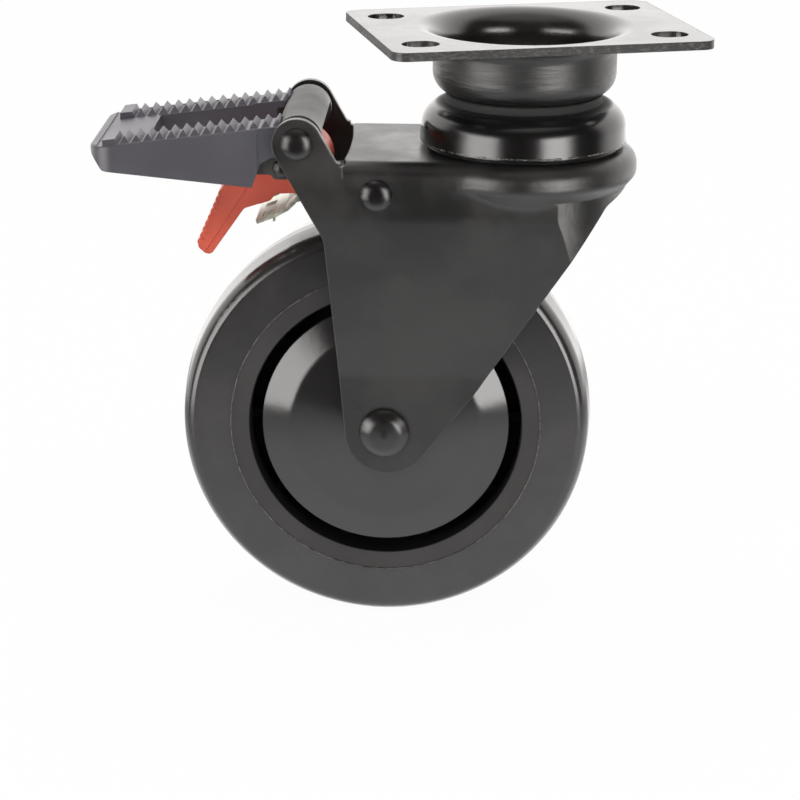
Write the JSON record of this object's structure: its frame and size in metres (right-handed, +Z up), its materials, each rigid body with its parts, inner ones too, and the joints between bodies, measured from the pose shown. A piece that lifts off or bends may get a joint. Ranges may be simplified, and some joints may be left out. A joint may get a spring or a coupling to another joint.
{
  "type": "swivel castor",
  "caption": "Plate-mounted swivel castor with a pressed steel fork, rubber-tyred wheel and a foot pedal that locks wheel and swivel, with a thumb lever to release it.",
  "frame": {"origin": "middle of the top plate's upper face, on the swivel axis", "axes": "+Z up out of the plate's mounting face, X along the plate's long side; the fork rests turned 15 degrees clockwise, seen from above, with the wheel trailing towards -X"},
  "size_m": [0.175, 0.0904, 0.1823],
  "materials": {
    "black_steel": "satin",
    "black_rivet": "semi-gloss",
    "bearing_steel": "ground",
    "zinc_steel": "zinc plated",
    "tyre_rubber": "satin",
    "rim_plastic": "satin",
    "pedal_plastic": "matt",
    "lever_plastic": "matt"
  },
  "bodies": {
    "mount_plate": {"top_plate": "black_steel", "dust_cover": "black_steel", "upper_race": "bearing_steel", "lower_race": "bearing_steel", "lock_ring": "zinc_steel", "king_pin": "zinc_steel", "king_pin_washer": "zinc_steel", "king_pin_nut": "zinc_steel"},
    "fork_body": {"fork": "black_steel", "upper_balls": "bearing_steel", "lower_balls": "bearing_steel", "pedal_pin": "black_rivet", "pedal_pin_tube": "zinc_steel", "brake_pin": "black_rivet", "brake_pin_tube": "zinc_steel", "leaf_spring": "zinc_steel", "axle_bolt": "black_rivet", "axle_nut": "zinc_steel", "axle_washer": "zinc_steel", "axle_tube": "zinc_steel", "thread_guard_near": "rim_plastic", "thread_guard_far": "rim_plastic", "bearing_inner_near": "bearing_steel", "bearing_inner_far": "bearing_steel"},
    "wheel_body": {"wheel_rim": "rim_plastic", "tyre": "tyre_rubber", "bearing_outer_near": "bearing_steel", "bearing_outer_far": "bearing_steel", "bearing_balls_near": "bearing_steel", "bearing_balls_far": "bearing_steel"},
    "pedal_body": {"pedal_bracket": "black_steel", "foot_pedal": "pedal_plastic", "lever_pin": "black_rivet"},
    "lever_body": {"release_lever": "lever_plastic"},
    "plate_body": {"brake_plate": "zinc_steel"}
  },
  "joints": [
    {"name": "swivel", "type": "hinge", "parent": "mount_plate", "child": "fork_body", "pos_m": [0, 0, -0.036], "axis": [0, 0, 1], "continuous": true},
    {"name": "wheel", "type": "hinge", "parent": "fork_body", "child": "wheel_body", "pos_m": [-0.03893, 0.01043, -0.1198], "axis": [0.2588, 0.9659, 0], "continuous": true},
    {"name": "pedal", "type": "hinge", "parent": "fork_body", "child": "pedal_body", "pos_m": [-0.06327, 0.01695, -0.02985], "axis": [-0.2588, -0.9659, 0], "range_deg": [0, 28]},
    {"name": "release_lever", "type": "hinge", "parent": "pedal_body", "child": "lever_body", "pos_m": [-0.06781, 0.01817, -0.0387], "axis": [0.2588, 0.9659, 0], "range_deg": [0, 70]},
    {"name": "brake_plate", "type": "hinge", "parent": "fork_body", "child": "plate_body", "pos_m": [-0.04105, 0.011, -0.0447], "axis": [-0.2588, -0.9659, 0], "range_deg": [0, 13], "deforming": ["leaf_spring"]}
  ],
  "couplings": [
    {"joint": "release_lever", "follows": "pedal", "ratio": 2.5},
    {"joint": "brake_plate", "follows": "pedal", "ratio": 0.464}
  ]
}
